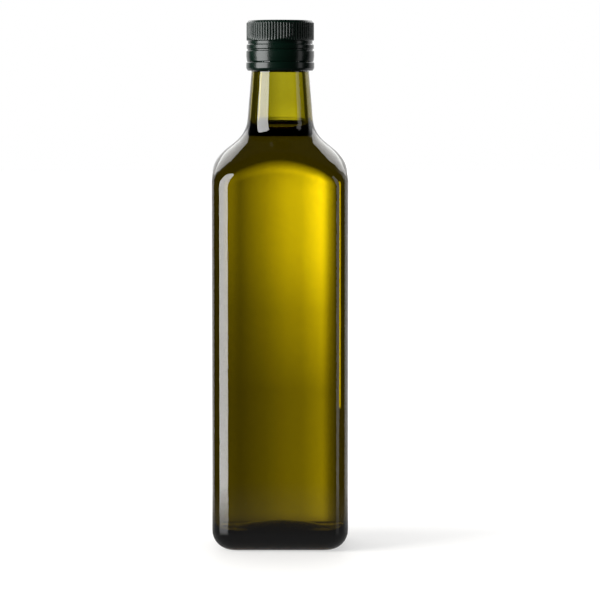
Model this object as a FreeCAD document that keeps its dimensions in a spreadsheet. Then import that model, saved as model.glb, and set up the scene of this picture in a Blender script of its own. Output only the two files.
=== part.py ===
import FreeCAD, Part
import os
import Sketcher

# A half-litre olive oil bottle with a square body, round neck and screw cap.
#
# Frame: millimetres, +Z up, origin at the middle of the base, on the surface the
# bottle stands on. The four flats of the body face +X, -X, +Y and -Y.
#
# Pieces: the glass, the oil inside it, the screw cap, and the tamper ring that the
# cap leaves on the neck when it is first opened.

SIZES = [
    # The glass, outside.
    ("body_width", 63.0, "square body, flat to flat"),
    ("corner_radius", 10.0, "upright corners of the body"),
    ("heel_radius", 9.0, "rounding from the sides to the base"),
    ("bottle_height", 243.4, "base to the mouth of the glass"),
    ("shoulder_depth", 63.0, "mouth to where the shoulder cone meets the middle of a flat"),
    ("shoulder_angle", 52.0, "shoulder cone, degrees from upright"),
    ("shoulder_round", 9.5, "rounding between the shoulder cone and the body"),
    ("neck_foot_radius", 15.8, "neck where it meets the shoulder cone"),
    ("neck_top_radius", 13.4, "neck just under the tamper ring"),
    ("neck_round", 14.5, "hollow rounding between the neck and the shoulder"),
    ("finish_radius", 13.9, "plain band of the mouth, inside the cap"),
    ("ring_cover", 0.8, "how far the ring reaches below the mouth band's flare"),
    ("finish_flare", 0.8, "height over which the neck widens to the mouth band"),
    ("lip_round", 1.2, "outer edge of the mouth"),
    ("punt_radius", 18.5, "rim of the hollow under the base"),
    ("punt_rise", 5.5, "height of the hollow under the base"),
    # The glass, inside.
    ("body_wall", 3.8, "glass at the flats"),
    ("shoulder_wall", 3.6, "glass at the shoulder, square to the cone"),
    ("inner_corner", 7.5, "upright corners of the inside"),
    ("inner_shoulder", 7.0, "rounding between the inside cone and the inside flats"),
    ("inner_heel", 6.5, "rounding from the inside flats to the floor"),
    ("base_wall", 7.5, "glass under the rim of the floor"),
    ("floor_radius", 20.5, "rim of the raised middle of the floor"),
    ("floor_rise", 5.5, "height of the raised middle of the floor"),
    ("bore_radius", 10.0, "inside of the neck at the mouth"),
    ("bore_foot_radius", 12.3, "inside of the neck where it meets the inside cone"),
    # The oil.
    ("oil_depth", 47.4, "mouth to the surface of the oil"),
    # The cap and its ring, which together cover the mouth.
    ("closure_height", 23.4, "under the ring to the top of the cap"),
    ("ring_height", 4.2, "tamper ring"),
    ("cap_plate", 1.6, "top of the cap"),
    ("cap_clearance", 0.25, "gap all round between the closure and the mouth band"),
    ("crown_wall", 1.55, "ribbed crown, from the bore to the top of the ribs"),
    ("crown_height", 9.4, "ribbed crown"),
    ("crown_bevel", 1.3, "slope round the top of the crown"),
    ("crown_round", 0.6, "rounding at each end of that slope"),
    ("rib_depth", 0.4, "depth of the flutes between the ribs"),
    ("flute_width", 0.9, "width of a flute at the surface"),
    ("flute_floor", 0.5, "width of a flute at its bottom"),
    ("flute_margin", 0.6, "plain strip between the flutes and the slope"),
    ("rib_count", 70, "ribs round the crown"),
    ("recess_wall", 0.9, "smooth waist under the crown"),
    ("recess_height", 1.8, "smooth waist under the crown"),
    ("bead_wall", 1.5, "raised bead under the waist"),
    ("bead_height", 2.2, "raised bead"),
    ("groove_wall", 1.05, "groove between the bead and the band"),
    ("groove_height", 0.7, "floor of that groove"),
    ("band_wall", 1.65, "smooth band at the bottom of the cap"),
    ("step_height", 0.5, "slope at each edge of the beads and bands"),
    ("break_wall", 1.1, "floor of the break line between the cap and the ring"),
    ("ring_wall", 1.7, "tamper ring"),
    ("ring_bevel", 1.0, "slope under the ring"),
    ("edge_round", 0.2, "rounding of the edges of the bead, bands and ring"),
]

doc = FreeCAD.newDocument("olive_oil_bottle")
sheet = doc.addObject("Spreadsheet::Sheet", "Sizes")
for row, (alias, size, meaning) in enumerate(SIZES, start=1):
    sheet.set(f"A{row}", meaning)
    sheet.set(f"B{row}", str(size))
    sheet.setAlias(f"B{row}", alias)
doc.recompute()

# Sizes that follow from the sheet, as expressions.
HALF = "(Sizes.body_width / 2)"
INNER_HALF = f"({HALF} - Sizes.body_wall)"
LEAN = "tan(Sizes.shoulder_angle)"
SHOULDER = "(Sizes.bottle_height - Sizes.shoulder_depth)"
# The inside cone runs beside the outside one at the thickness of the shoulder wall, and
# meets the inside flats this much lower.
INNER_SHOULDER = (
    f"({SHOULDER}"
    f" - (Sizes.shoulder_wall / cos(Sizes.shoulder_angle) - Sizes.body_wall) / {LEAN})"
)
CAP_TOP = "(Sizes.bottle_height + Sizes.cap_plate)"
RING_FOOT = f"({CAP_TOP} - Sizes.closure_height)"
BREAK = f"({RING_FOOT} + Sizes.ring_height)"
CLOSURE_BORE = "(Sizes.finish_radius + Sizes.cap_clearance)"
CROWN_FOOT = f"({CAP_TOP} - Sizes.crown_height)"
CROWN = f"({CLOSURE_BORE} + Sizes.crown_wall)"
WAIST = f"({CLOSURE_BORE} + Sizes.recess_wall)"
BEAD = f"({CLOSURE_BORE} + Sizes.bead_wall)"
GROOVE = f"({CLOSURE_BORE} + Sizes.groove_wall)"
BAND = f"({CLOSURE_BORE} + Sizes.band_wall)"
BREAK_FLOOR = f"({CLOSURE_BORE} + Sizes.break_wall)"
RING = f"({CLOSURE_BORE} + Sizes.ring_wall)"
# Far enough out to pass the corners of the body, and above the mouth.
OUTSIDE = "Sizes.body_width"
ABOVE = "(Sizes.bottle_height + 5)"

NEAR = 0.01  # two lengths this close are taken as the same


def value(expression):
    """What an expression over the sheet comes to."""
    result = sheet.evalExpression(expression)
    return float(getattr(result, "Value", result))


def new_body(label):
    body = doc.addObject("PartDesign::Body", label)
    body.Label = label
    return body


def origin_plane(body, role):
    return next(item for item in body.Origin.OriginFeatures if item.Role == role)


def outline(body, name, role, corners, lift="0"):
    """A closed sketch of straight lines; each corner is a pair of expressions."""
    sketch = body.newObject("Sketcher::SketchObject", name)
    sketch.AttachmentSupport = [(origin_plane(body, role), "")]
    sketch.MapMode = "FlatFace"
    sketch.setExpression(".AttachmentOffset.Base.z", lift)
    points = [FreeCAD.Vector(value(x), value(y), 0) for x, y in corners]
    count = len(points)
    for index, point in enumerate(points):
        sketch.addGeometry(Part.LineSegment(point, points[(index + 1) % count]))
    for index in range(count):
        sketch.addConstraint(Sketcher.Constraint("Coincident", index, 2, (index + 1) % count, 1))
    for index, corner in enumerate(corners):
        for kind, expression in zip(("DistanceX", "DistanceY"), corner):
            place = Sketcher.Constraint(kind, index, 1, value(expression))
            number = sketch.addConstraint(place)
            sketch.setExpression(f"Constraints[{number}]", expression)
    return sketch


def turned(body, kind, name, corners):
    """A full turn of an outline in the XZ plane about the Z axis, added or cut away."""
    sketch = outline(body, name + "_outline", "XZ_Plane", corners)
    feature = body.newObject(f"PartDesign::{kind}", name)
    feature.Profile = sketch
    feature.ReferenceAxis = (sketch, ["V_Axis"])
    feature.Angle = 360
    doc.recompute()
    return feature


def rounded(body, name, feature, picks, radius):
    """Rounds the edges of a feature that picks says yes to."""
    edges = [f"Edge{i}" for i, edge in enumerate(feature.Shape.Edges, 1) if picks(edge)]
    if not edges:
        raise RuntimeError(f"{name} found no edge to round")
    fillet = body.newObject("PartDesign::Fillet", name)
    fillet.Base = (feature, edges)
    fillet.setExpression("Radius", radius)
    doc.recompute()
    return fillet


def upright(edge):
    """A straight edge that runs along Z."""
    box = edge.BoundBox
    return box.ZLength > NEAR and box.XLength < NEAR and box.YLength < NEAR


def level_ring(radius, height):
    """Picks the circle of this radius round the Z axis at this height."""
    wanted_radius = value(radius)
    wanted_height = value(height)

    def picks(edge):
        box = edge.BoundBox
        level = abs(box.ZMin - wanted_height) < NEAR and box.ZLength < NEAR
        return level and all(
            abs((point.x**2 + point.y**2) ** 0.5 - wanted_radius) < NEAR
            for point in edge.discretize(5)
        )

    return picks


def any_ring(places):
    """Picks each circle round the Z axis whose radius and height are in places."""
    tests = [level_ring(*place) for place in places]
    return lambda edge: any(test(edge) for test in tests)


def flat_at(height):
    """Picks the edges that lie level at this height."""
    wanted = value(height)

    def picks(edge):
        box = edge.BoundBox
        return abs(box.ZMin - wanted) < NEAR and abs(box.ZMax - wanted) < NEAR

    return picks


def arched(half):
    """Picks the arches where the shoulder cone leaves the flats and corners of the body."""
    reach = value(half) - NEAR
    low = value(f"{SHOULDER} / 2")

    def picks(edge):
        middle = edge.discretize(3)[1]
        outside = (middle.x**2 + middle.y**2) ** 0.5 > reach
        return outside and middle.z > low and not upright(edge)

    return picks


def bottle_form(label, half, corner, foot, heel, neck, meeting, shoulder, hollow, rim, rise):
    """The form shared by the outside of the glass and by its inside.

    A square block with rounded uprights stands on foot. A cone of revolution pares away
    everything outside the neck and shoulder: neck lists its corners from the mouth down,
    the last one on the cone, and meeting is the height where the cone meets a flat. The
    edges are then rounded and the middle of the base is domed upwards.
    """
    body = new_body(label)
    square = [(f"-{half}", f"-{half}"), (half, f"-{half}"), (half, half), (f"-{half}", half)]
    block = body.newObject("PartDesign::Pad", label + "_block")
    block.Profile = outline(body, label + "_square", "XY_Plane", square, foot)
    block.setExpression("Length", f"{neck[0][1]} - {foot}")
    doc.recompute()
    uprights = rounded(body, label + "_uprights", block, upright, corner)

    mouth = (neck[0][0], ABOVE)
    cone_end = (OUTSIDE, f"{meeting} - ({OUTSIDE} - {half}) / {LEAN}")
    waste = [mouth] + neck[1:] + [cone_end, (OUTSIDE, ABOVE)]
    pared = turned(body, "Groove", label + "_pared", waste)
    if pared.Shape.Volume >= uprights.Shape.Volume:
        raise RuntimeError(f"{label}: the cone cut nothing away")

    shape = rounded(body, label + "_shoulder", pared, arched(half), shoulder)
    shape = rounded(body, label + "_hollow", shape, level_ring(*neck[-1]), hollow)
    shape = rounded(body, label + "_heel", shape, flat_at(foot), heel)

    ball = f"(({rim})^2 + ({rise})^2) / (2 * ({rise}))"
    dome = body.newObject("PartDesign::SubtractiveSphere", label + "_dome")
    dome.AttachmentSupport = [(origin_plane(body, "XY_Plane"), "")]
    dome.MapMode = "FlatFace"
    dome.setExpression("Radius", ball)
    dome.setExpression(".AttachmentOffset.Base.z", f"{foot} + {rise} - {ball}")
    doc.recompute()
    if dome.Shape.Volume >= shape.Shape.Volume:
        raise RuntimeError(f"{label}: the base wasn't domed")
    return body


def glass_bottle(inside):
    """The glass: its outer form with a plain mouth band, less the inside."""
    flare_foot = f"({RING_FOOT} + Sizes.ring_cover)"
    cone_foot = f"({SHOULDER} + ({HALF} - Sizes.neck_foot_radius) / {LEAN})"
    neck = [
        ("Sizes.finish_radius", "Sizes.bottle_height"),
        ("Sizes.finish_radius", f"({flare_foot} + Sizes.finish_flare)"),
        ("Sizes.neck_top_radius", flare_foot),
        ("Sizes.neck_foot_radius", cone_foot),
    ]
    outside = bottle_form(
        "bottle_outside",
        half=HALF,
        corner="Sizes.corner_radius",
        foot="0",
        heel="Sizes.heel_radius",
        neck=neck,
        meeting=SHOULDER,
        shoulder="Sizes.shoulder_round",
        hollow="Sizes.neck_round",
        rim="Sizes.punt_radius",
        rise="Sizes.punt_rise",
    )
    lip = level_ring("Sizes.finish_radius", "Sizes.bottle_height")
    rounded(outside, "bottle_lip", outside.Tip, lip, "Sizes.lip_round")
    glass = doc.addObject("Part::Cut", "glass_bottle")
    glass.Base = outside
    glass.Tool = inside
    return glass


def bottle_inside():
    """The space inside the glass, open at the mouth."""
    bore_foot = f"({INNER_SHOULDER} + ({INNER_HALF} - Sizes.bore_foot_radius) / {LEAN})"
    neck = [
        ("Sizes.bore_radius", "Sizes.bottle_height"),
        ("Sizes.bore_radius", BREAK),
        ("Sizes.bore_foot_radius", bore_foot),
    ]
    return bottle_form(
        "bottle_inside",
        half=INNER_HALF,
        corner="Sizes.inner_corner",
        foot="Sizes.base_wall",
        heel="Sizes.inner_heel",
        neck=neck,
        meeting=INNER_SHOULDER,
        shoulder="Sizes.inner_shoulder",
        hollow="Sizes.neck_round + Sizes.shoulder_wall",
        rim="Sizes.floor_radius",
        rise="Sizes.floor_rise",
    )


def olive_oil(inside):
    """The oil: the inside of the glass up to a level surface."""
    below = doc.addObject("Part::Box", "below_the_surface")
    for side in ("Length", "Width"):
        below.setExpression(side, "Sizes.body_width")
    below.setExpression("Height", "Sizes.bottle_height - Sizes.oil_depth")
    for axis in "xy":
        below.setExpression(f".Placement.Base.{axis}", f"-{HALF}")
    oil = doc.addObject("Part::Common", "olive_oil")
    oil.Base = inside
    oil.Tool = below
    return oil


def screw_cap():
    """The cap: a ribbed crown, a waist, a bead and a band, hollow from below."""
    cap = new_body("screw_cap")
    waist_foot = f"({CROWN_FOOT} - Sizes.recess_height)"
    bead_foot = f"({waist_foot} - Sizes.bead_height)"
    band_top = f"({bead_foot} - Sizes.groove_height)"
    profile = [
        ("0", CAP_TOP),
        (f"{CROWN} - Sizes.crown_bevel", CAP_TOP),
        (CROWN, f"{CAP_TOP} - Sizes.crown_bevel"),
        (CROWN, CROWN_FOOT),
        (WAIST, CROWN_FOOT),
        (WAIST, waist_foot),
        (BEAD, f"{waist_foot} - Sizes.step_height"),
        (BEAD, f"{bead_foot} + Sizes.step_height"),
        (GROOVE, bead_foot),
        (GROOVE, band_top),
        (BAND, f"{band_top} - Sizes.step_height"),
        (BAND, f"{BREAK} + Sizes.step_height"),
        (BREAK_FLOOR, BREAK),
        (CLOSURE_BORE, BREAK),
        (CLOSURE_BORE, "Sizes.bottle_height"),
        ("0", "Sizes.bottle_height"),
    ]
    shape = turned(cap, "Revolution", "cap_shell", profile)
    slope_ends = [profile[1], profile[2]]
    shape = rounded(cap, "cap_top_round", shape, any_ring(slope_ends), "Sizes.crown_round")
    edges = [profile[6], profile[7], profile[10], profile[11]]
    shape = rounded(cap, "cap_edge_round", shape, any_ring(edges), "Sizes.edge_round")

    outer = f"{CROWN} + Sizes.rib_depth"
    widen = "(Sizes.flute_width - Sizes.flute_floor) / 2"
    floor_half = "Sizes.flute_floor / 2"
    mouth_half = f"{floor_half} + 2 * {widen}"
    floor = f"{CROWN} - Sizes.rib_depth"
    flute = [
        (floor, f"-({floor_half})"),
        (outer, f"-({mouth_half})"),
        (outer, mouth_half),
        (floor, floor_half),
    ]
    pocket = cap.newObject("PartDesign::Pocket", "flute")
    pocket.Profile = outline(cap, "flute_outline", "XY_Plane", flute, CROWN_FOOT)
    pocket.setExpression("Length", "Sizes.crown_height - Sizes.crown_bevel - Sizes.flute_margin")
    pocket.Reversed = True
    doc.recompute()
    if pocket.Shape.Volume >= shape.Shape.Volume:
        raise RuntimeError("the flute cut nothing away")

    flutes = cap.newObject("PartDesign::PolarPattern", "flutes")
    flutes.Originals = [pocket]
    flutes.Axis = (pocket.Profile[0], ["N_Axis"])
    flutes.Angle = 360
    flutes.setExpression("Occurrences", "Sizes.rib_count")
    cap.Tip = flutes
    doc.recompute()
    return cap


def tamper_ring():
    """The ring under the break line, round the foot of the mouth band."""
    ring = new_body("tamper_ring")
    profile = [
        (BREAK_FLOOR, BREAK),
        (RING, f"{BREAK} - Sizes.step_height"),
        (RING, f"{RING_FOOT} + Sizes.ring_bevel"),
        (f"{RING} - Sizes.ring_bevel / 2", RING_FOOT),
        (CLOSURE_BORE, RING_FOOT),
        (CLOSURE_BORE, BREAK),
    ]
    shape = turned(ring, "Revolution", "ring_shell", profile)
    rounded(ring, "ring_edge_round", shape, any_ring(profile[1:4]), "Sizes.edge_round")
    return ring


inside_form = bottle_inside()
pieces = [glass_bottle(inside_form), olive_oil(inside_form), screw_cap(), tamper_ring()]
doc.recompute()

for item in doc.Objects:
    if {"Invalid", "Error"} & set(item.State):
        raise RuntimeError(f"{item.Label} failed: {item.State}")
for piece in pieces:
    if piece.Shape.isNull() or not piece.Shape.isValid() or len(piece.Shape.Solids) != 1:
        raise RuntimeError(f"{piece.Label} isn't one valid solid")

os.makedirs("parts", exist_ok=True)
for piece in pieces:
    piece.Shape.exportStep(f"parts/{piece.Label}.step")
    box = piece.Shape.BoundBox
    print(
        f"{piece.Label}: {piece.Shape.Volume / 1000:.1f} ml,"
        f" {box.XLength:.2f} x {box.YLength:.2f} x {box.ZLength:.2f} mm from z {box.ZMin:.2f}"
    )
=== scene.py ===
# %% [markdown]
# # A square bottle of olive oil
# Half a litre of oil stands in a dark green glass bottle with a square body, a round neck and
# a ribbed screw cap. The CAD model fixes every size and place. This lesson remakes the four
# pieces with finer surfaces, because glass shows each facet as a broken highlight, and gives
# them glass, oil and lacquer. We begin by loading the model.

from math import atan2, cos, exp, hypot, inf, pi, radians, sin, sqrt, tan

import bmesh
import bpy
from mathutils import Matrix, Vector


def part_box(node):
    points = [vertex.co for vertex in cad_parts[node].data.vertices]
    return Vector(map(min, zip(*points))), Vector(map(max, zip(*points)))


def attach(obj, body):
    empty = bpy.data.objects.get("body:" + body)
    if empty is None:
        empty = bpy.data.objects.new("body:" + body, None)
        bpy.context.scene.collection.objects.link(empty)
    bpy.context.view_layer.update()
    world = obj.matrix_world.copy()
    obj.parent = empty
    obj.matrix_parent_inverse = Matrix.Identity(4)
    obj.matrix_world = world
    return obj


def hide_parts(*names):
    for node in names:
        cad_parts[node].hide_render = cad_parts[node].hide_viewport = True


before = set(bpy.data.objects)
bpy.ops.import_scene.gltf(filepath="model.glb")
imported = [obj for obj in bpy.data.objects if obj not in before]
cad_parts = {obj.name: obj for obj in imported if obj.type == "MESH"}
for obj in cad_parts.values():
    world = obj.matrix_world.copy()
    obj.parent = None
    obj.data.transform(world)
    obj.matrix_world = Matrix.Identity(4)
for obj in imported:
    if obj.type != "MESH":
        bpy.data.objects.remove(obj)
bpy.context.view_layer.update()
MM = 0.001

# %% [markdown]
# ## Sizes that the frame already knows
# The body's width, the height of the mouth, the oil's level and the heights of the closure come
# from the boxes of the CAD nodes, so the looks follow when the model changes. The walls and
# roundings below are the glassmaker's numbers, which a box can't tell. All are in millimetres.

# %% Sizes
def spans(node):
    """Half the width of a CAD node, its underside and its top, in millimetres."""
    low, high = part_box(node)
    return high.x / MM, low.z / MM, high.z / MM


BODY_HALF, FLOOR, MOUTH = spans("glass_bottle")
_, _, OIL_LEVEL = spans("olive_oil")
CAP_RADIUS, CAP_FOOT, CAP_TOP = spans("screw_cap")
RING_RADIUS, RING_FOOT, RING_TOP = spans("tamper_ring")

WALL = 3.8
CORNER = 12.0
HEEL = 9.0
SHOULDER_DEPTH = 63.0
SHOULDER_SLOPE = tan(radians(52))
print(f"body {2 * BODY_HALF:.1f} mm wide, mouth at {MOUTH:.1f} mm, oil up to {OIL_LEVEL:.1f} mm")

# %% [markdown]
# ## Drawing a section
# Every piece of this bottle starts as half a section, from the axis out to the wall, which is
# then spun. A section is a list of corners, each with a radius, a height and a rounding. The
# helper turns each rounding into an arc and cuts long straight runs into short ones, because
# the mould that presses the glass square can only bend the wall where it has points.

# %% A section with rounded corners
def section(corners, step, arc_steps=6, fine_from=-inf):
    """Points through corners (radius, height, rounding), a step apart above a height."""
    ends = [Vector(corner[:2]) for corner in corners]
    points = [ends[0]]
    for index in range(1, len(corners)):
        run = [ends[index]]
        rounding = corners[index][2]
        if rounding and index < len(corners) - 1:
            back = (ends[index - 1] - ends[index]).normalized()
            ahead = (ends[index + 1] - ends[index]).normalized()
            half_angle = back.angle(ahead) / 2
            centre = ends[index] + (back + ahead).normalized() * rounding / sin(half_angle)
            start = ends[index] + back * rounding / tan(half_angle) - centre
            finish = ends[index] + ahead * rounding / tan(half_angle) - centre
            turns = [start.slerp(finish, k / arc_steps) for k in range(arc_steps + 1)]
            run = [centre + turn.normalized() * rounding for turn in turns]
        gap = run[0] - points[-1]
        cuts = max(int(gap.length / step), 1) if points[-1].y > fine_from else 1
        points += [points[-1] + gap * k / cuts for k in range(1, cuts)]
        points += run
    return points


def dome(radius, rise, height, steps=10):
    """Corners of a shallow dome, from its top on the axis down to its rim at this height."""
    sphere = (radius * radius + rise * rise) / (2 * rise)
    radii = [radius * k / steps for k in range(steps)]
    return [(r, height + rise - sphere + sqrt(sphere * sphere - r * r), 0) for r in radii]


# %% [markdown]
# ## Spinning it
# On a lathe, or in a parison mould, glass is a turned shape first. The spin operator does the
# same: it sweeps the section round the vertical axis. A full spin is told to merge its last
# step with its first, and the copies of each point on the axis are merged into one pole.

# %% Spin a section into a form
POLE_WELD = 0.0001


def spin_section(mesh, points, steps):
    """Sweeps a section round the vertical axis and returns the new vertices."""
    known = set(mesh.verts)
    drawn = [mesh.verts.new((p.x * MM, 0, p.y * MM)) for p in points]
    edges = [mesh.edges.new(pair) for pair in zip(drawn, drawn[1:])]
    bmesh.ops.spin(mesh, geom=drawn + edges, cent=(0, 0, 0), axis=(0, 0, 1), dvec=(0, 0, 0),
                   angle=2 * pi, steps=steps, use_merge=True, use_normal_flip=False,
                   use_duplicate=False)
    fresh = [v for v in mesh.verts if v not in known]
    bmesh.ops.remove_doubles(mesh, verts=fresh, dist=POLE_WELD * MM)
    return [v for v in mesh.verts if v not in known]


def finished(mesh, name, node, material):
    """Turns a closed mesh into a smooth piece that stands for a CAD node."""
    bmesh.ops.recalc_face_normals(mesh, faces=mesh.faces)
    for face in mesh.faces:
        face.smooth = True
    loose = sum(1 for edge in mesh.edges if not edge.is_manifold)
    volume = mesh.calc_volume(signed=True) / 1e-6
    data = bpy.data.meshes.new(name)
    mesh.to_mesh(data)
    mesh.free()
    data.materials.append(material)
    piece = bpy.data.objects.new(name, data)
    bpy.context.scene.collection.objects.link(piece)
    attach(piece, "root")
    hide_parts(node)
    print(f"{name}: {len(data.polygons)} faces, {loose} open edges, {volume:.1f} ml")


# %% [markdown]
# ## Pressing it square
# The body isn't turned: the hot turned form is blown out against a square mould with rounded
# corners, and stays round only where it doesn't reach the mould. So each point of the spun form
# is drawn in to the mould where it is too far out. Between the round shoulder and the flats the
# glass can't follow a sharp edge, and the passage from one to the other is eased over a few
# millimetres. That easing gives the arch at the top of each flat.

# %% The square mould
BUNCHING = 0.5
SHARPEST_CORNER = 0.5


def eased_least(a, b, reach):
    """The smaller of two lengths, with a soft passage where they are within reach."""
    if reach == 0:
        return min(a, b)
    close = max(reach - abs(a - b), 0) / reach
    return min(a, b) - close * close * reach / 4


def mould_radius(angle, half, corner):
    """How far a square with rounded corners lies from its middle at an angle."""
    fold = abs((angle + pi / 4) % (pi / 2) - pi / 4)
    middle = half - corner
    if tan(fold) * half < middle:
        return half / cos(fold)
    toward = middle * (cos(fold) + sin(fold))
    return toward + sqrt(toward * toward - 2 * middle * middle + corner * corner)


def press(vertices, half, corner, heel, floor, reach):
    """Draws spun vertices in to a square mould whose heel is an arc above its floor.

    The vertices are first bunched towards the corners, where the wall bends most."""
    for vertex in vertices:
        radius, height = hypot(vertex.co.x, vertex.co.y) / MM, vertex.co.z / MM
        angle = atan2(vertex.co.y, vertex.co.x)
        angle += BUNCHING / 4 * sin(4 * angle)
        below = min(max(heel - (height - floor), 0), heel)
        inset = heel - sqrt(heel * heel - below * below)
        limit = mould_radius(angle, half - inset, max(corner - inset, SHARPEST_CORNER))
        radius = eased_least(radius, limit, 0 if below else reach)
        vertex.co = Vector((radius * cos(angle), radius * sin(angle), height)) * MM


def heel_corners(far, heel, floor, steps=8):
    """Heights at which the heel's arc needs points, all far enough out to meet the mould."""
    turns = [radians(90) * k / steps for k in range(steps + 1)]
    return [(far, floor + heel * (1 - cos(turn)), 0) for turn in turns]


# %% [markdown]
# ## Colours
# A maker names a colour by its hex value, which is sRGB, while the renderer adds light in linear
# values. One function turns the one into the other.

# %% Colours and nodes
def linear(hex_colour):
    """An sRGB hex colour as linear red, green, blue and alpha."""
    parts = [int(hex_colour[k:k + 2], 16) / 255 for k in (1, 3, 5)]
    return [p / 12.92 if p <= 0.04045 else ((p + 0.055) / 1.055) ** 2.4 for p in parts] + [1.0]


def add_node(tree, kind, settings=None, links=None, **properties):
    """Adds a node, sets its properties and sockets, and links sockets to other nodes' outputs."""
    node = tree.nodes.new(kind)
    for name, value in properties.items():
        setattr(node, name, value)
    for name, value in (settings or {}).items():
        node.inputs[name].default_value = value
    for name, source in (links or {}).items():
        tree.links.new(source, node.inputs[name])
    return node


def new_tree(owner):
    """An owner's empty node tree."""
    owner.use_nodes = True
    owner.node_tree.nodes.clear()
    return owner.node_tree


# %% [markdown]
# ## Bottle glass
# Soda-lime bottle glass coloured olive green with iron and chromium, blown in an iron mould.
# Its colour is in its thickness: four millimetres of it still pass a green-gold light, while
# the eye looking along the wall at a corner sees almost black. So the surface is clear and the
# colour is a Volume Absorption. The mould leaves a very slight waviness, some two centimetres
# from swell to swell, and the skin isn't equally bright everywhere, so noise drives a faint bump
# and the roughness. Where oil wets the wall, light only steps from glass (IOR 1.52) to oil (1.47).
# That part of the skin carries the attribute "wetted", which lowers the IOR to the ratio of the
# two, 1.034, so that it hardly mirrors anything. It stays one material, because a ray must leave
# the same glass it entered.

# %% Moulded bottle glass
GLASS_SWELL_MM = 22.0
GLASS_TINT = "#E7E300"
GLASS_DENSITY = 700.0
GLASS_IOR, OIL_IOR = 1.52, 1.47


def moulded_bottle_glass():
    material = bpy.data.materials.new("moulded_olive_green_bottle_glass")
    tree = new_tree(material)
    place = add_node(tree, "ShaderNodeTexCoord").outputs["Object"]
    swell = add_node(tree, "ShaderNodeTexNoise", {"Scale": 1 / (GLASS_SWELL_MM * MM), "Detail": 1.0},
                     {"Vector": place})
    sheen = add_node(tree, "ShaderNodeMapRange", {"To Min": 0.0, "To Max": 0.03},
                     {"Value": swell.outputs["Fac"]})
    waves = add_node(tree, "ShaderNodeBump", {"Strength": 0.02, "Distance": 0.2 * MM},
                     {"Height": swell.outputs["Fac"]})
    wetted = add_node(tree, "ShaderNodeAttribute", attribute_name="wetted").outputs["Fac"]
    step = add_node(tree, "ShaderNodeMapRange",
                    {"To Min": GLASS_IOR, "To Max": GLASS_IOR / OIL_IOR}, {"Value": wetted})
    surface = add_node(tree, "ShaderNodeBsdfPrincipled",
                       {"Base Color": linear("#FFFFFF"), "IOR": GLASS_IOR, "Transmission Weight": 1.0},
                       {"Roughness": sheen.outputs["Result"], "Normal": waves.outputs["Normal"],
                        "IOR": step.outputs["Result"]})
    body = add_node(tree, "ShaderNodeVolumeAbsorption",
                    {"Color": linear(GLASS_TINT), "Density": GLASS_DENSITY})
    add_node(tree, "ShaderNodeOutputMaterial", None,
             {"Surface": surface.outputs["BSDF"], "Volume": body.outputs["Volume"]})
    return material


bottle_glass = moulded_bottle_glass()
print("made", bottle_glass.name)

# %% [markdown]
# ## The glass bottle
# The outer wall runs from the top of the hollow under the base, out over the foot, up the heel
# and the flats, in along the shoulder and up the neck to the mouth. The inner wall has the same
# run with its own sizes, because blown glass is thicker at the corners and the base. Each wall
# is spun and pressed with its own mould, up to one shared rim on top of the lip, where the two
# are welded by merging their doubles. Most of the points stand on the shoulder, where the form
# bends both ways.

# %% Outer and inner walls
SPIN_STEPS = 208
SHOULDER_STEP = 1.0
SHOULDER_START = 145.0
WALL_REACH = 7.2
INNER_REACH = 5.5
PUNT_RADIUS, PUNT_RISE = 18.5, 5.5
FLOOR_RADIUS, FLOOR_RISE = 22.5, 3.5
BASE_WALL = 9.5
INNER_CORNER, INNER_HEEL = 8.5, 5.0
NECK_FOOT, NECK_TOP, NECK_ROUND = 15.8, 13.4, 14.5
BORE_FOOT, BORE = 12.3, 10.0
FOOT_ROUND, FLOOR_ROUND, BORE_FOOT_ROUND, BORE_ROUND = 1.0, 3.0, 16.0, 5.0
FINISH_STEP, FLARE_FOOT, FLARE_TOP, FLARE_ROUND = 0.5, 0.4, 0.2, 0.4
LIP, RIM = 1.2, 12.0
MENISCUS_RISE = 2.0
FAR = 58.0
FLATS_TOP = MOUTH - SHOULDER_DEPTH
CONE_DROP = 1.6
WELD = 0.001


def cone_height(radius, half, flats_top):
    """The height at which the shoulder's cone, which meets the flats at their top, is so wide."""
    return flats_top - (radius - half) / SHOULDER_SLOPE


def outer_section():
    corners = dome(PUNT_RADIUS, PUNT_RISE, FLOOR) + [(PUNT_RADIUS, FLOOR, FOOT_ROUND)]
    corners += heel_corners(FAR, HEEL, FLOOR)
    corners += [(FAR, SHOULDER_START, 0), (FAR, cone_height(FAR, BODY_HALF, FLATS_TOP), 0)]
    corners += [(NECK_FOOT, cone_height(NECK_FOOT, BODY_HALF, FLATS_TOP), NECK_ROUND)]
    corners += [(NECK_TOP, RING_FOOT - FLARE_FOOT, FLARE_ROUND)]
    corners += [(NECK_TOP + FINISH_STEP, RING_FOOT + FLARE_TOP, FLARE_ROUND)]
    corners += [(NECK_TOP + FINISH_STEP, MOUTH, LIP), (RIM, MOUTH, 0)]
    return section(corners, SHOULDER_STEP, fine_from=SHOULDER_START - 1)


def inner_section(grow):
    """The inside, from the axis up to the foot of the bore, grown a little for what fills it."""
    half, top = BODY_HALF - WALL + grow, FLATS_TOP - CONE_DROP
    corners = dome(FLOOR_RADIUS, FLOOR_RISE, BASE_WALL - grow)
    corners += [(FLOOR_RADIUS, BASE_WALL - grow, FLOOR_ROUND)]
    corners += heel_corners(FAR, INNER_HEEL, BASE_WALL - grow)
    corners += [(FAR, SHOULDER_START, 0), (FAR, cone_height(FAR, half, top), 0)]
    corners += [(BORE_FOOT + grow, cone_height(BORE_FOOT + grow, half, top), BORE_FOOT_ROUND)]
    return corners


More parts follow.
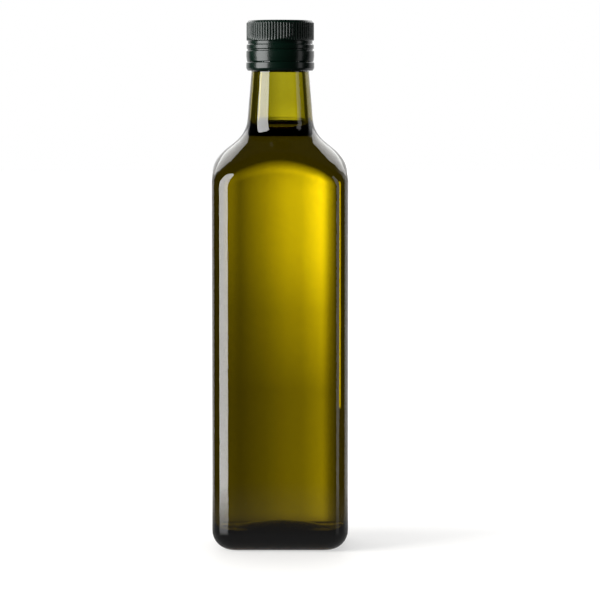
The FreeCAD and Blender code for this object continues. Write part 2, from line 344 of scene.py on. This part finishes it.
def glass_walls():
    mesh = bmesh.new()
    wetted = mesh.faces.layers.float.new("wetted")
    outside = spin_section(mesh, outer_section(), SPIN_STEPS)
    press(outside, BODY_HALF, CORNER, HEEL, FLOOR, WALL_REACH)
    corners = inner_section(0) + [(BORE, RING_TOP, BORE_ROUND), (BORE, MOUTH, LIP), (RIM, MOUTH, 0)]
    inner = section(corners, SHOULDER_STEP, fine_from=SHOULDER_START - 1)
    inside = spin_section(mesh, inner, SPIN_STEPS)
    press(inside, BODY_HALF - WALL, INNER_CORNER, INNER_HEEL, BASE_WALL, INNER_REACH)
    for face in {face for vertex in inside for face in vertex.link_faces}:
        face[wetted] = float(face.calc_center_median().z < (OIL_LEVEL + MENISCUS_RISE) * MM)
    bmesh.ops.remove_doubles(mesh, verts=mesh.verts, dist=WELD * MM)
    return mesh


finished(glass_walls(), "bottle_glass_walls", "glass_bottle", bottle_glass)

# %% [markdown]
# ## Olive oil
# Pressed, filtered oil is clear and green-gold. Its colour too is an absorption: it takes out
# the blue, and a little of the green. A faint haze of fine olive matter is left after filtering,
# so noise at some ten millimetres varies the roughness of its skin a little. The free surface
# bends light by the oil's full IOR. The skin that lies inside the wall bends nothing, because
# the wetted glass has done it already.

# %% Filtered olive oil
HAZE_MM = 10.0
OIL_TINT = "#F9ED00"
OIL_DENSITY = 29.0
NO_STEP = 1.001


def filtered_olive_oil():
    material = bpy.data.materials.new("filtered_green_gold_olive_oil")
    tree = new_tree(material)
    place = add_node(tree, "ShaderNodeTexCoord").outputs["Object"]
    haze = add_node(tree, "ShaderNodeTexNoise", {"Scale": 1 / (HAZE_MM * MM), "Detail": 2.0},
                    {"Vector": place})
    skin = add_node(tree, "ShaderNodeMapRange", {"To Min": 0.0, "To Max": 0.03},
                    {"Value": haze.outputs["Fac"]})
    wetted = add_node(tree, "ShaderNodeAttribute", attribute_name="wetted").outputs["Fac"]
    step = add_node(tree, "ShaderNodeMapRange", {"To Min": OIL_IOR, "To Max": NO_STEP},
                    {"Value": wetted})
    free = add_node(tree, "ShaderNodeMapRange", {"To Min": 1.0, "To Max": 0.0}, {"Value": wetted})
    rough = add_node(tree, "ShaderNodeMath", operation="MULTIPLY")
    tree.links.new(skin.outputs["Result"], rough.inputs[0])
    tree.links.new(free.outputs["Result"], rough.inputs[1])
    surface = add_node(tree, "ShaderNodeBsdfPrincipled",
                       {"Base Color": linear("#FFFFFF"), "IOR": OIL_IOR, "Transmission Weight": 1.0},
                       {"Roughness": rough.outputs[0], "IOR": step.outputs["Result"]})
    body = add_node(tree, "ShaderNodeVolumeAbsorption",
                    {"Color": linear(OIL_TINT), "Density": OIL_DENSITY})
    add_node(tree, "ShaderNodeOutputMaterial", None,
             {"Surface": surface.outputs["BSDF"], "Volume": body.outputs["Volume"]})
    return material


olive_oil = filtered_olive_oil()
print("made", olive_oil.name)

# %% [markdown]
# ## The oil in the bottle
# The oil is one closed solid with the shape of the inside. It reaches a little way into the
# glass, because two surfaces in one place, or a film of air between them, would both spoil the
# light that passes. Oil wets glass and creeps up it, so its surface turns up at the wall into a
# small meniscus. The section therefore climbs the wall past the level and comes back to the
# axis along a curve that sinks towards the middle.

# %% The body of oil
BITE = 0.15
MENISCUS_REACH, CREEP_MM, CREEP_STEPS = 6.0, 0.94, 8


def oil_body():
    mesh = bmesh.new()
    wetted = mesh.faces.layers.float.new("wetted")
    contact = OIL_LEVEL + MENISCUS_RISE
    foot = cone_height(BORE_FOOT, BODY_HALF - WALL, FLATS_TOP - CONE_DROP)
    narrowing = (BORE_FOOT - BORE) / (RING_TOP - foot)
    edge = BORE_FOOT + BITE - narrowing * (contact - foot)
    corners = inner_section(BITE) + [(edge, contact, 0)]
    creep = [MENISCUS_REACH * k / CREEP_STEPS for k in range(1, CREEP_STEPS + 1)]
    meniscus = [Vector((edge - d, OIL_LEVEL + MENISCUS_RISE * exp(-d / CREEP_MM))) for d in creep]
    wall = section(corners, SHOULDER_STEP, fine_from=SHOULDER_START - 1)
    points = wall + meniscus + [Vector((0, OIL_LEVEL))]
    vertices = spin_section(mesh, points, SPIN_STEPS)
    press(vertices, BODY_HALF - WALL + BITE, INNER_CORNER, INNER_HEEL, BASE_WALL - BITE, INNER_REACH)
    for face in mesh.faces:
        middle = face.calc_center_median() / MM
        face[wetted] = float(middle.z < OIL_LEVEL or hypot(middle.x, middle.y) > edge - BITE)
    return mesh


finished(oil_body(), "oil_up_to_the_neck", "olive_oil", olive_oil)

# %% [markdown]
# ## Lacquered closure
# The cap and its ring are drawn from tin-free sheet and lacquered a green so dark that it reads
# as black until light falls on it. Lacquer is a gloss film over the colour: a dielectric with a
# clear coat. Its colour is broken up very slightly, and the coat has the faint orange peel of a
# rolled lacquer, about half a millimetre from bump to bump.

# %% Gloss lacquer
PEEL_MM, PATCH_MM = 0.6, 8.0
COLOUR_A, COLOUR_B, COLOUR_OUT = 6, 7, 2    # a Mix node has several sockets of one name


def gloss_lacquer():
    material = bpy.data.materials.new("rolled_dark_green_gloss_lacquer")
    tree = new_tree(material)
    place = add_node(tree, "ShaderNodeTexCoord").outputs["Object"]
    patches = add_node(tree, "ShaderNodeTexNoise", {"Scale": 1 / (PATCH_MM * MM), "Detail": 3.0},
                       {"Vector": place})
    colour = add_node(tree, "ShaderNodeMix", {COLOUR_A: linear("#03100A"), COLOUR_B: linear("#071B13")},
                      {"Factor": patches.outputs["Fac"]}, data_type="RGBA")
    gloss = add_node(tree, "ShaderNodeMapRange", {"To Min": 0.2, "To Max": 0.3},
                     {"Value": patches.outputs["Fac"]})
    peel = add_node(tree, "ShaderNodeTexNoise", {"Scale": 1 / (PEEL_MM * MM), "Detail": 1.0},
                    {"Vector": place})
    relief = add_node(tree, "ShaderNodeBump", {"Strength": 0.03, "Distance": 0.02 * MM},
                      {"Height": peel.outputs["Fac"]})
    surface = add_node(tree, "ShaderNodeBsdfPrincipled",
                       {"IOR": 1.5, "Specular IOR Level": 0.3, "Coat Weight": 0.15,
                        "Coat Roughness": 0.05},
                       {"Base Color": colour.outputs[COLOUR_OUT], "Roughness": gloss.outputs["Result"],
                        "Normal": relief.outputs["Normal"]})
    add_node(tree, "ShaderNodeOutputMaterial", None, {"Surface": surface.outputs["BSDF"]})
    return material


lacquer = gloss_lacquer()
print("made", lacquer.name)

# %% [markdown]
# ## The screw cap
# From the top down the cap has a ribbed crown for the grip, a narrow waist, a bead, a groove and
# a plain band. It is spun like the glass. The ribs are rolled in by a knurling wheel after the
# cup is drawn, so here too they are pressed into the finished crown: the wall is drawn in by a
# cosine of the angle, seventy times round, fading out at both ends of the crown. A power of the
# cosine makes the grooves narrow and the ribs broad. The two profiles list corners by how far
# they lie inside the widest radius, how far below the top or the crown, and their rounding.

# %% Ribs and cap
RIBS = 70
RIB_DEPTH = 0.42
CROWN_HEIGHT = 9.4
BORE_OF_CAP = 14.15
PLATE = 1.6
RIB_FADE, RIB_POWER, RIB_START, RIB_STOP = 0.5, 2.5, 0.2, 1.0
STEPS_PER_RIB = 8
WALL_BAND = 1.5
DISH = 0.25
CROWN_PROFILE = [(3.2, DISH, 0.5), (2.6, 0, 0.4), (1.2, 0, 0.7), (0.1, 1.3, 0.6)]
SKIRT_PROFILE = [(0.1, 0, 0.35), (0.75, 0.2, 0.2), (0.75, 1.6, 0.2), (0.15, 2.0, 0.4),
                 (0.15, 3.7, 0.4), (0.6, 4.1, 0.15), (0.6, 4.6, 0.15), (0, 4.9, 0.25), (0, 7.4, 0.6)]
HEM_PROFILE = [(0.25, -0.3, 0.6), (0.45, 0, 0.2)]


def cap_section():
    corners = [(0, CAP_TOP - DISH, 0)]
    for top, profile in [(CAP_TOP, CROWN_PROFILE), (CAP_TOP - CROWN_HEIGHT, SKIRT_PROFILE),
                         (CAP_FOOT, HEM_PROFILE)]:
        corners += [(CAP_RADIUS - inset, top - drop, rounding) for inset, drop, rounding in profile]
    corners += [(BORE_OF_CAP, CAP_FOOT, 0.1), (BORE_OF_CAP, CAP_TOP - PLATE, 0.3)]
    corners += [(0, CAP_TOP - PLATE, 0)]
    return section(corners, 1.0, 3, fine_from=CAP_TOP - 10)


def roll_ribs(vertices):
    low, high = CAP_TOP - CROWN_HEIGHT + RIB_START, CAP_TOP - RIB_STOP
    for vertex in vertices:
        radius, height = hypot(vertex.co.x, vertex.co.y) / MM, vertex.co.z / MM
        if radius < CAP_RADIUS - WALL_BAND or not low < height < high:
            continue
        fade = min((height - low) / RIB_FADE, (high - height) / RIB_FADE, 1)
        turn = atan2(vertex.co.y, vertex.co.x) * RIBS
        drawn_in = RIB_DEPTH * fade * (0.5 - 0.5 * cos(turn)) ** RIB_POWER
        vertex.co.xy *= (radius - drawn_in) / radius


def ribbed_cap():
    mesh = bmesh.new()
    vertices = spin_section(mesh, cap_section(), RIBS * STEPS_PER_RIB)
    roll_ribs(vertices)
    return mesh


finished(ribbed_cap(), "ribbed_cap", "screw_cap", lacquer)

# %% [markdown]
# ## The tamper ring
# The ring tears off the cap when it is first turned, and stays on the neck. It is a plain band
# with a rounded lower edge that grips under the glass bead, parted from the cap by the thin line
# where the bridges break.

# %% Ring
BREAK_LINE = 0.12
TOP_BEVEL, FOOT_BEVEL = (0.5, 0.5), (0.7, 1.2)
RING_STEPS = 280


def tamper_band():
    mesh = bmesh.new()
    top = RING_TOP - BREAK_LINE
    corners = [(BORE_OF_CAP, top, 0), (RING_RADIUS - TOP_BEVEL[0], top, 0.1)]
    corners += [(RING_RADIUS, RING_TOP - TOP_BEVEL[1], 0.3), (RING_RADIUS, RING_FOOT + FOOT_BEVEL[1], 0.6)]
    corners += [(RING_RADIUS - FOOT_BEVEL[0], RING_FOOT, 0.5), (BORE_OF_CAP, RING_FOOT, 0.2)]
    spin_section(mesh, section(corners + corners[:1], 1.0, 4), RING_STEPS)
    return mesh


finished(tamper_band(), "tamper_band", "tamper_ring", lacquer)

# %% [markdown]
# ## The studio
# Dark glass on white is lit from behind and beside it, and black cards round it keep its edges
# dark. Here the world and the table play all those parts, told apart by the kind of ray. The
# camera sees plain white, with a painted shade on the table under the bottle, where the table
# glows less. A mirrored ray finds a dark room with a white backdrop behind, and a painted glow
# on the table only close to the heel. A ray that passes through the glass finds a narrower white
# behind, a dim light at the sides and on the table, and a brighter one in front, which keeps the
# back of the bottle from going black.

# %% World and floor
WHITE_BEHIND = 0.95
WHITE_THROUGH = 0.62
THROUGH_LIGHT = 0.1
FRONT_LIGHT = 0.5
FLOOR_LIGHT = 0.11
BACKDROP_ASIDE = 6.0
ROOM_DARK = 0.012
MIRRORED_WHITE, THROUGH_WHITE, FRONT = (50, 60), (24, 36), (100, 160)
BACKDROP_TOP = (0.35, 0.7)
ABOVE_BACKDROP = 0.02
# Painted shade: the table's own glow is weaker close to the bottle's foot.
PAINTED_SHADE, PAINTED_SHADE_REACH = (0.55, 0.95), (0.03, 0.22)
# Painted glow: mirrored rays see the table glow only close to the heel.
PAINTED_HEEL_GLOW, PAINTED_HEEL_GLOW_REACH = 0.25, (0.05, 0.2)
TABLE_SIZE = 8


def studio_world():
    world = bpy.data.worlds.new("white_studio")
    bpy.context.scene.world = world
    tree = new_tree(world)
    rays = add_node(tree, "ShaderNodeLightPath")
    way = add_node(tree, "ShaderNodeTexCoord").outputs["Generated"]
    axes = add_node(tree, "ShaderNodeSeparateXYZ", None, {"Vector": way})
    turn = add_node(tree, "ShaderNodeMath", operation="ARCTAN2")
    tree.links.new(axes.outputs["X"], turn.inputs[0])
    tree.links.new(axes.outputs["Y"], turn.inputs[1])
    aside = add_node(tree, "ShaderNodeMath", {1: radians(BACKDROP_ASIDE)}, operation="SUBTRACT")
    tree.links.new(turn.outputs[0], aside.inputs[0])
    away = add_node(tree, "ShaderNodeMath", operation="ABSOLUTE")
    tree.links.new(aside.outputs[0], away.inputs[0])
    mirrored = add_node(tree, "ShaderNodeMapRange",
                        {"From Min": radians(MIRRORED_WHITE[0]), "From Max": radians(MIRRORED_WHITE[1]),
                         "To Min": WHITE_BEHIND, "To Max": ROOM_DARK}, {"Value": away.outputs[0]})
    low = add_node(tree, "ShaderNodeMapRange",
                   {"From Min": BACKDROP_TOP[0], "From Max": BACKDROP_TOP[1], "To Min": 1.0,
                    "To Max": ABOVE_BACKDROP}, {"Value": axes.outputs["Z"]})
    backdrop = add_node(tree, "ShaderNodeMath", operation="MULTIPLY")
    tree.links.new(mirrored.outputs["Result"], backdrop.inputs[0])
    tree.links.new(low.outputs["Result"], backdrop.inputs[1])
    through = add_node(tree, "ShaderNodeMapRange",
                       {"From Min": radians(THROUGH_WHITE[0]), "From Max": radians(THROUGH_WHITE[1]),
                        "To Min": WHITE_THROUGH, "To Max": THROUGH_LIGHT}, {"Value": away.outputs[0]})
    from_front = add_node(tree, "ShaderNodeMapRange",
                          {"From Min": radians(FRONT[0]), "From Max": radians(FRONT[1]),
                           "To Max": FRONT_LIGHT}, {"Value": away.outputs[0]})
    all_round = add_node(tree, "ShaderNodeMath", operation="ADD")
    tree.links.new(through.outputs["Result"], all_round.inputs[0])
    tree.links.new(from_front.outputs["Result"], all_round.inputs[1])
    seen = add_node(tree, "ShaderNodeMix", None,
                    {"Factor": rays.outputs["Is Reflection Ray"], "A": all_round.outputs[0],
                     "B": backdrop.outputs[0]})
    shown = add_node(tree, "ShaderNodeMix", {"B": 1.0},
                     {"Factor": rays.outputs["Is Camera Ray"], "A": seen.outputs[0]})
    back = add_node(tree, "ShaderNodeBackground", {"Color": linear("#FFFFFF")},
                    {"Strength": shown.outputs[0]})
    add_node(tree, "ShaderNodeOutputWorld", None, {"Surface": back.outputs["Background"]})


def studio_floor():
    material = bpy.data.materials.new("white_acrylic_table")
    tree = new_tree(material)
    rays = add_node(tree, "ShaderNodeLightPath")
    place = add_node(tree, "ShaderNodeTexCoord").outputs["Object"]
    reach = add_node(tree, "ShaderNodeVectorMath", None, {0: place}, operation="LENGTH")
    # Painted shade round the foot: the table's glow rises with distance from the bottle.
    glow = add_node(tree, "ShaderNodeMapRange",
                    {"From Min": PAINTED_SHADE_REACH[0], "From Max": PAINTED_SHADE_REACH[1], "To Min": PAINTED_SHADE[0],
                     "To Max": PAINTED_SHADE[1]}, {"Value": reach.outputs["Value"]})
    lit = add_node(tree, "ShaderNodeBsdfPrincipled",
                   {"Base Color": linear("#A8A6A2"), "Roughness": 0.6,
                    "Emission Color": linear("#FFFFFF")}, {"Emission Strength": glow.outputs["Result"]})
    # Painted glow seen only in reflections: near the heel the table glows, farther out it is clear to
    # mirrored rays.
    painted_heel_glow_mask = add_node(tree, "ShaderNodeMapRange",
                        {"From Min": PAINTED_HEEL_GLOW_REACH[0], "From Max": PAINTED_HEEL_GLOW_REACH[1], "To Min": 1.0,
                         "To Max": 0.0}, {"Value": reach.outputs["Value"]})
    mirrored = add_node(tree, "ShaderNodeMixShader", None, {"Fac": painted_heel_glow_mask.outputs["Result"]})
    clear = add_node(tree, "ShaderNodeBsdfTransparent")
    near = add_node(tree, "ShaderNodeEmission", {"Strength": PAINTED_HEEL_GLOW})
    tree.links.new(clear.outputs["BSDF"], mirrored.inputs[1])
    tree.links.new(near.outputs["Emission"], mirrored.inputs[2])
    even = add_node(tree, "ShaderNodeEmission", {"Strength": FLOOR_LIGHT})
    dim = add_node(tree, "ShaderNodeMixShader", None, {"Fac": rays.outputs["Is Reflection Ray"]})
    tree.links.new(even.outputs["Emission"], dim.inputs[1])
    tree.links.new(mirrored.outputs["Shader"], dim.inputs[2])
    table_top = add_node(tree, "ShaderNodeMixShader", None, {"Fac": rays.outputs["Is Camera Ray"]})
    tree.links.new(dim.outputs["Shader"], table_top.inputs[1])
    tree.links.new(lit.outputs["BSDF"], table_top.inputs[2])
    add_node(tree, "ShaderNodeOutputMaterial", None, {"Surface": table_top.outputs["Shader"]})
    mesh = bmesh.new()
    bmesh.ops.create_grid(mesh, x_segments=1, y_segments=1, size=TABLE_SIZE)
    data = bpy.data.meshes.new("table")
    mesh.to_mesh(data)
    mesh.free()
    data.materials.append(material)
    table = bpy.data.objects.new("table", data)
    bpy.context.scene.collection.objects.link(table)


studio_world()
studio_floor()
print("world and table made")

# %% [markdown]
# ## Lamps
# A tall softbox at the left draws the white strip down the neck and the left corner, a narrow
# one at the right answers it dimly, and one high behind lights the shoulders. None of the three
# is seen through the glass. A thin strip behind at the left is seen only through it, in the right
# corner. Close behind the bottle stands a card of light with a grid, as tall as the bottle: it
# shines only towards the camera, through the oil, and is brightest at the right and two thirds
# of the way up. Because of the grid, the flats are darker from every side but the front.

# %% Softboxes and the card behind
def softbox(name, place, target, size, radiance):
    """A rectangular lamp of even brightness that faces a point and is hidden from the camera."""
    data = bpy.data.lights.new(name, "AREA")
    data.shape = "RECTANGLE"
    data.size, data.size_y = size
    data.energy = radiance * pi * size[0] * size[1]
    lamp = bpy.data.objects.new(name, data)
    lamp.location = place
    lamp.rotation_euler = (Vector(target) - Vector(place)).to_track_quat("-Z", "Y").to_euler()
    lamp.visible_camera = False
    bpy.context.scene.collection.objects.link(lamp)
    return lamp


CAMERA_PLACE = Vector((0.0092, -1.5, 0.2075))
CARD_PLACE = (0.0, 0.10, 0.115)
CARD_SIZE = (0.10, 0.24)
CARD_RADIANCE = 0.105
CARD_SPREAD = 30
CARD_ACROSS = [(0.0, 1.0), (0.3, 0.95), (0.4, 0.5), (0.47, 0.44), (0.58, 0.22), (0.72, 0.03),
               (1.0, 0.02)]
CARD_UPWARDS = [(0.0, 0.15), (0.12, 0.18), (0.3, 0.17), (0.46, 0.4), (0.58, 0.78), (0.7, 1.0),
                (0.82, 0.5), (0.88, 0.2)]


def card_behind():
    card = softbox("card_behind", CARD_PLACE, CAMERA_PLACE, CARD_SIZE, CARD_RADIANCE)
    card.data.spread = radians(CARD_SPREAD)
    tree = new_tree(card.data)
    place = add_node(tree, "ShaderNodeTexCoord").outputs["UV"]
    axes = add_node(tree, "ShaderNodeSeparateXYZ", None, {"Vector": place})
    both = add_node(tree, "ShaderNodeMath", operation="MULTIPLY")
    for number, (stops, axis) in enumerate([(CARD_ACROSS, "X"), (CARD_UPWARDS, "Y")]):
        fade = add_node(tree, "ShaderNodeValToRGB", None, {"Fac": axes.outputs[axis]})
        while len(fade.color_ramp.elements) < len(stops):
            fade.color_ramp.elements.new(0.5)
        for element, (position, grey) in zip(fade.color_ramp.elements, stops):
            element.position = position
            element.color = (grey, grey, grey, 1)
        tree.links.new(fade.outputs["Color"], both.inputs[number])
    glow = add_node(tree, "ShaderNodeEmission", None, {"Strength": both.outputs[0]})
    add_node(tree, "ShaderNodeOutputLight", None, {"Surface": glow.outputs["Emission"]})


def around(azimuth, distance, height):
    """A place round the bottle: azimuth 0 is the camera's side and 90 is the right."""
    turn = radians(azimuth)
    return (distance * sin(turn), -distance * cos(turn), height)


BOTTLE_MIDDLE = (0, 0, 0.12)
tall_left = softbox("tall_left", around(-66, 0.9, 0.42), (0, 0, 0.42), (0.74, 1.5), 9)
narrow_right = softbox("narrow_right", around(72, 1.0, 0.3), (0, 0, 0.3), (0.28, 1.4), 1.2)
high_behind = softbox("high_behind", (0, 1.2, 0.95), BOTTLE_MIDDLE, (2.4, 0.8), 1.8)
for lamp in (tall_left, narrow_right, high_behind):
    lamp.visible_transmission = False
corner_strip = softbox("corner_strip", around(-160.5, 1.0, 0.1), (0, 0, 0.1), (0.05, 1.2), 1.6)
corner_strip.visible_glossy = False
card_behind()
print("lamps placed")

# %% [markdown]
# ## Camera and light paths
# A long lens, a metre and a half away and a little above the oil's level, keeps the flats nearly
# parallel. Light crosses a filled bottle through eight surfaces and turns inside its corners, so
# the number of bounces is raised, and light focused on to the table is left out as noise.

# %% Camera
CAMERA_AIM = Vector((CAMERA_PLACE.x, 0.0, 0.1146))
LENS_MM = 192.7
camera_data = bpy.data.cameras.new("camera")
camera_data.lens = LENS_MM
camera = bpy.data.objects.new("camera", camera_data)
camera.location = CAMERA_PLACE
camera.rotation_euler = (CAMERA_AIM - CAMERA_PLACE).to_track_quat("-Z", "Y").to_euler()
bpy.context.scene.collection.objects.link(camera)
scene = bpy.context.scene
scene.camera = camera
scene.view_settings.view_transform = "Standard"
scene.cycles.max_bounces = 24
scene.cycles.transmission_bounces = 24
scene.cycles.glossy_bounces = 12
scene.cycles.caustics_reflective = False
scene.cycles.caustics_refractive = False
print("camera at", tuple(camera.location))

# %% [markdown]
# ## Finish
# Last, the scene is brought up to date.

# %% Finish
bpy.context.view_layer.update()
